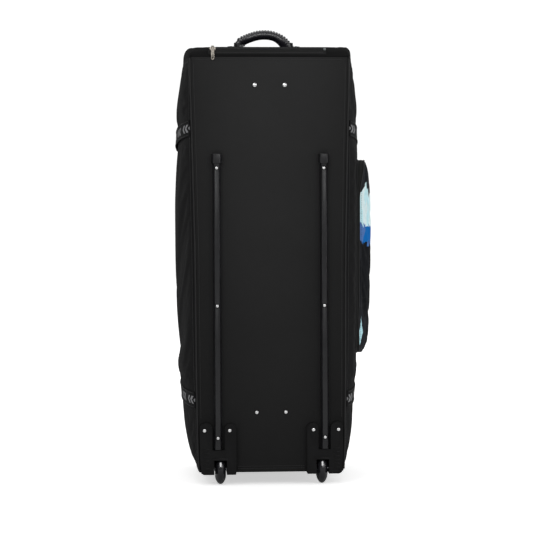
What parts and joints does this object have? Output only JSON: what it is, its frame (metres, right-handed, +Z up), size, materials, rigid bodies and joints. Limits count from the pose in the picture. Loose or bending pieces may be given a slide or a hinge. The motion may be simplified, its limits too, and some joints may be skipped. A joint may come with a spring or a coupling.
{
  "type": "hockey equipment bag",
  "caption": "Tall wheeled hockey duffel with skid rails, corner wheel housings, zipped lid, side pocket, grab handle and carry loops.",
  "frame": {"origin": "centre of the foot bar's floor face, on the floor in the bag's middle plane", "axes": "+Z up along the bag's length, +X to the right when facing the base side, the base side with its rails and wheels faces -Y"},
  "size_m": [0.458, 0.4763, 1.0445],
  "materials": {
    "base_fabric": "coated woven polyester",
    "side_fabric": "coated woven polyester",
    "binding": "woven binding",
    "board": "sheet plastic",
    "moulded": "moulded, semi-gloss",
    "rivet_metal": "bright nickel",
    "steel": "zinc plated",
    "tyre": "smooth urethane",
    "hub": "moulded nylon",
    "webbing": "woven webbing",
    "wrap": "padded wrap",
    "grip_core": "moulded nylon",
    "grip": "glossy moulded grip",
    "zip": "zip chain",
    "zip_metal": "antique nickel",
    "pocket_black": "coated woven polyester",
    "pocket_print": "printed woven polyester"
  },
  "bodies": {
    "root": {"base_panel": "base_fabric", "base_board": "board", "side_panel_left": "side_fabric", "side_panel_right": "side_fabric", "head_end_panel": "side_fabric", "foot_end_panel": "side_fabric", "foot_end_board": "board", "front_rim": "side_fabric", "piping_left": "binding", "piping_right": "binding", "head_seam_binding": "binding", "front_seam_binding": "binding", "skid_rail_left": "moulded", "skid_rail_right": "moulded", "rail_caps": "moulded", "rail_rivets": "rivet_metal", "wheel_housing_left": "moulded", "wheel_housing_right": "moulded", "housing_rivets": "rivet_metal", "board_rivets": "rivet_metal", "rivet_washers": "steel", "axle_left": "steel", "axle_right": "steel", "foot_bar": "moulded", "foot_bar_screws": "steel", "strap_left": "webbing", "strap_right": "webbing", "handle_mounts": "moulded", "handle_pins": "steel", "handle_plate_screws": "steel", "head_zip_lower": "zip", "head_zip_upper": "zip", "head_zip_stop": "zip_metal", "rim_zip_half": "zip", "lid_hinge_cord": "binding", "pocket_gusset": "pocket_black", "pocket_face": "pocket_print", "pocket_zip": "zip"},
    "wheel_left": {"tyre_left": "tyre", "hub_left": "hub", "bearings_left": "steel"},
    "wheel_right": {"tyre_right": "tyre", "hub_right": "hub", "bearings_right": "steel"},
    "handle": {"handle_core": "grip_core", "handle_grip": "grip"},
    "head_slider": {"head_slider": "zip_metal"},
    "head_puller": {"head_puller": "zip_metal"},
    "lid": {"lid_panel": "side_fabric", "lid_zip_half": "zip"},
    "lid_slider_upper": {"lid_slider_upper": "zip_metal"},
    "lid_slider_lower": {"lid_slider_lower": "zip_metal"},
    "lid_puller_upper": {"lid_puller_upper": "zip_metal"},
    "lid_puller_lower": {"lid_puller_lower": "zip_metal"},
    "pocket_slider": {"pocket_slider": "zip_metal"},
    "pocket_puller": {"pocket_puller": "zip_metal"},
    "carry_loop_left": {"loop_left": "webbing", "loop_wrap_left": "wrap"},
    "carry_loop_right": {"loop_right": "webbing", "loop_wrap_right": "wrap"}
  },
  "joints": [
    {"name": "wheel_left_spin", "type": "hinge", "parent": "root", "child": "wheel_left", "pos_m": [-0.114, -0.29, 0.034], "axis": [1, 0, 0], "continuous": true},
    {"name": "wheel_right_spin", "type": "hinge", "parent": "root", "child": "wheel_right", "pos_m": [0.114, -0.29, 0.034], "axis": [1, 0, 0], "continuous": true},
    {"name": "handle_swing", "type": "hinge", "parent": "root", "child": "handle", "pos_m": [-0.005, -0.14, 1.006], "axis": [1, 0, 0], "range_deg": [-50, 50]},
    {"name": "head_zip_slide", "type": "slide", "parent": "root", "child": "head_slider", "axis": [1, 0, 0], "range_m": [0, 0.236]},
    {"name": "head_pull_swing", "type": "hinge", "parent": "head_slider", "child": "head_puller", "pos_m": [-0.127, -0.31492, 0.97862], "axis": [-1, 0, 0], "range_deg": [0, 170]},
    {"name": "lid_hinge", "type": "hinge", "parent": "root", "child": "lid", "pos_m": [0, 0.0579, 0.061], "axis": [-1, 0, 0], "range_deg": [0, 90]},
    {"name": "lid_zip_slide_upper", "type": "slide", "parent": "lid", "child": "lid_slider_upper", "axis": [0, 0, 1], "range_m": [0, 0.32]},
    {"name": "lid_zip_slide_lower", "type": "slide", "parent": "lid", "child": "lid_slider_lower", "axis": [0, 0, -1], "range_m": [0, 0.38]},
    {"name": "lid_pull_swing_upper", "type": "hinge", "parent": "lid_slider_upper", "child": "lid_puller_upper", "pos_m": [0.15, 0.0641, 0.52], "axis": [-1, 0, 0], "range_deg": [0, 120]},
    {"name": "lid_pull_swing_lower", "type": "hinge", "parent": "lid_slider_lower", "child": "lid_puller_lower", "pos_m": [0.15, 0.0641, 0.47], "axis": [1, 0, 0], "range_deg": [0, 120]},
    {"name": "pocket_zip_slide", "type": "slide", "parent": "root", "child": "pocket_slider", "axis": [0, 0, -1], "range_m": [0, 0.27]},
    {"name": "pocket_pull_swing", "type": "hinge", "parent": "pocket_slider", "child": "pocket_puller", "pos_m": [0.20381, -0.0048, 0.664], "axis": [1, 0, 0], "range_deg": [0, 170]},
    {"name": "carry_loop_left_swing", "type": "hinge", "parent": "root", "child": "carry_loop_left", "pos_m": [-0.178, 0.035, 0.495], "axis": [0, 0, 1], "range_deg": [-25, 60]},
    {"name": "carry_loop_right_swing", "type": "hinge", "parent": "root", "child": "carry_loop_right", "pos_m": [0.178, 0.035, 0.495], "axis": [0, 0, -1], "range_deg": [-25, 60]}
  ]
}
